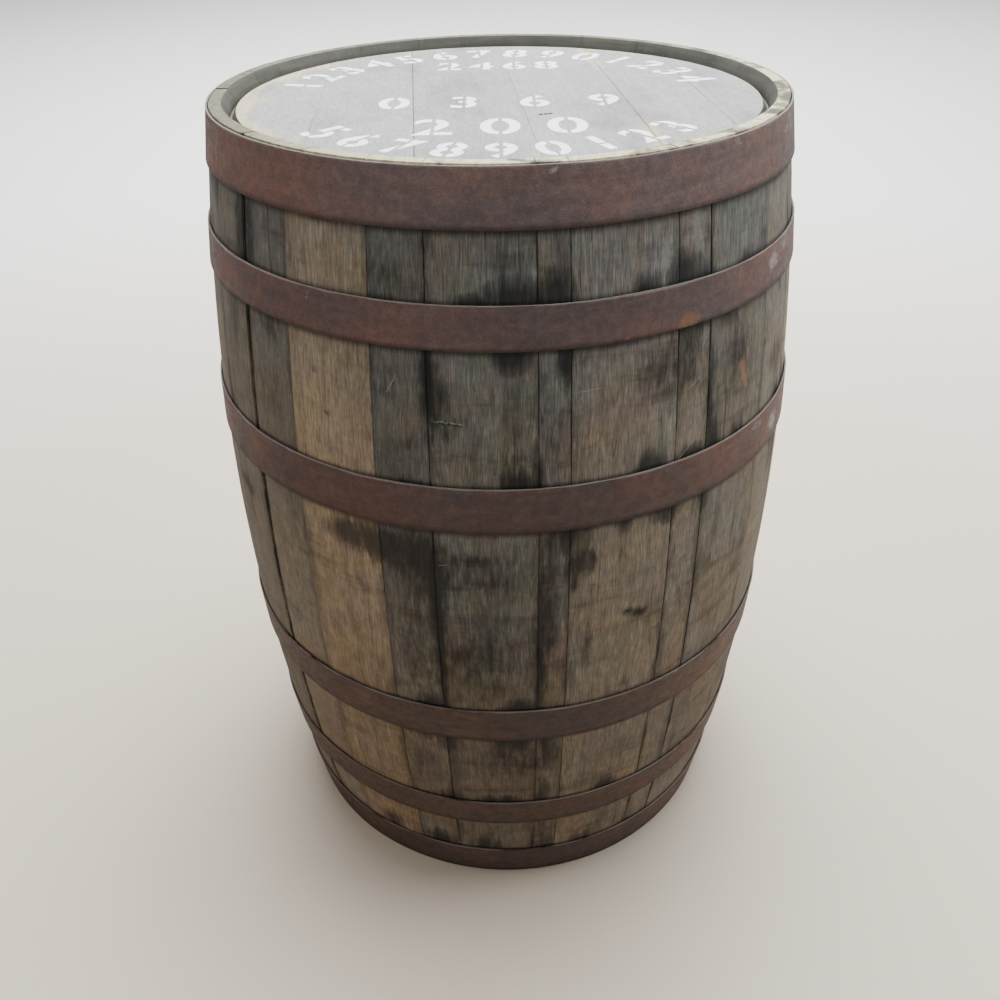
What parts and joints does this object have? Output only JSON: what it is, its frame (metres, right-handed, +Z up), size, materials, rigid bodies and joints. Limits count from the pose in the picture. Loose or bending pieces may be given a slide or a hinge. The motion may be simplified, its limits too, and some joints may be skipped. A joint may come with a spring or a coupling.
{
  "type": "whisky barrel",
  "caption": "Bulging oak cask on end: bent staves held by riveted steel hoops, round boarded heads set in a groove, and a tapered bung that pulls out of the side.",
  "frame": {"origin": "centre of the circle that the barrel stands on, on the floor", "axes": "+Z up along the barrel's axis, +Y out of the bung hole, -Y towards the picture's camera"},
  "size_m": [0.643, 0.647, 0.885],
  "materials": {
    "stave_oak": "weathered grey-brown oak, rain stained",
    "painted_head": "matt grey paint on oak boards, worn",
    "head_oak": "bare weathered oak",
    "rusted_hoop": "rusted mild steel strip with worn edges",
    "rivet_steel": "rusted steel",
    "dowel_wood": "turned hardwood pins",
    "rush": "dried rush strip",
    "bung_wood": "turned poplar, stained at the rim"
  },
  "bodies": {
    "cask": {"bottom_bilge_hoop": "rusted_hoop", "bottom_head_board_1": "head_oak", "bottom_head_board_2": "head_oak", "bottom_head_board_3": "head_oak", "bottom_head_board_4": "head_oak", "bottom_head_board_5": "head_oak", "bottom_head_board_6": "head_oak", "bottom_head_dowels": "dowel_wood", "bottom_head_hoop": "rusted_hoop", "bottom_quarter_hoop": "rusted_hoop", "bottom_rush_seal": "rush", "bung_stave": "stave_oak", "hoop_rivets": "rivet_steel", "stave_01": "stave_oak", "stave_02": "stave_oak", "stave_03": "stave_oak", "stave_04": "stave_oak", "stave_05": "stave_oak", "stave_06": "stave_oak", "stave_07": "stave_oak", "stave_08": "stave_oak", "stave_09": "stave_oak", "stave_10": "stave_oak", "stave_11": "stave_oak", "stave_12": "stave_oak", "stave_13": "stave_oak", "stave_14": "stave_oak", "stave_15": "stave_oak", "stave_16": "stave_oak", "stave_17": "stave_oak", "stave_19": "stave_oak", "stave_20": "stave_oak", "stave_21": "stave_oak", "stave_22": "stave_oak", "stave_23": "stave_oak", "stave_24": "stave_oak", "stave_25": "stave_oak", "stave_26": "stave_oak", "stave_27": "stave_oak", "top_bilge_hoop": "rusted_hoop", "top_head_board_1": "painted_head", "top_head_board_2": "painted_head", "top_head_board_3": "painted_head", "top_head_board_4": "painted_head", "top_head_board_5": "painted_head", "top_head_board_6": "painted_head", "top_head_dowels": "dowel_wood", "top_head_hoop": "rusted_hoop", "top_quarter_hoop": "rusted_hoop", "top_rush_seal": "rush"},
    "bung": {"bung": "bung_wood"}
  },
  "joints": [
    {"name": "bung_pull", "type": "slide", "parent": "cask", "child": "bung", "axis": [0, 1, 0], "range_m": [0, 0.12]}
  ]
}
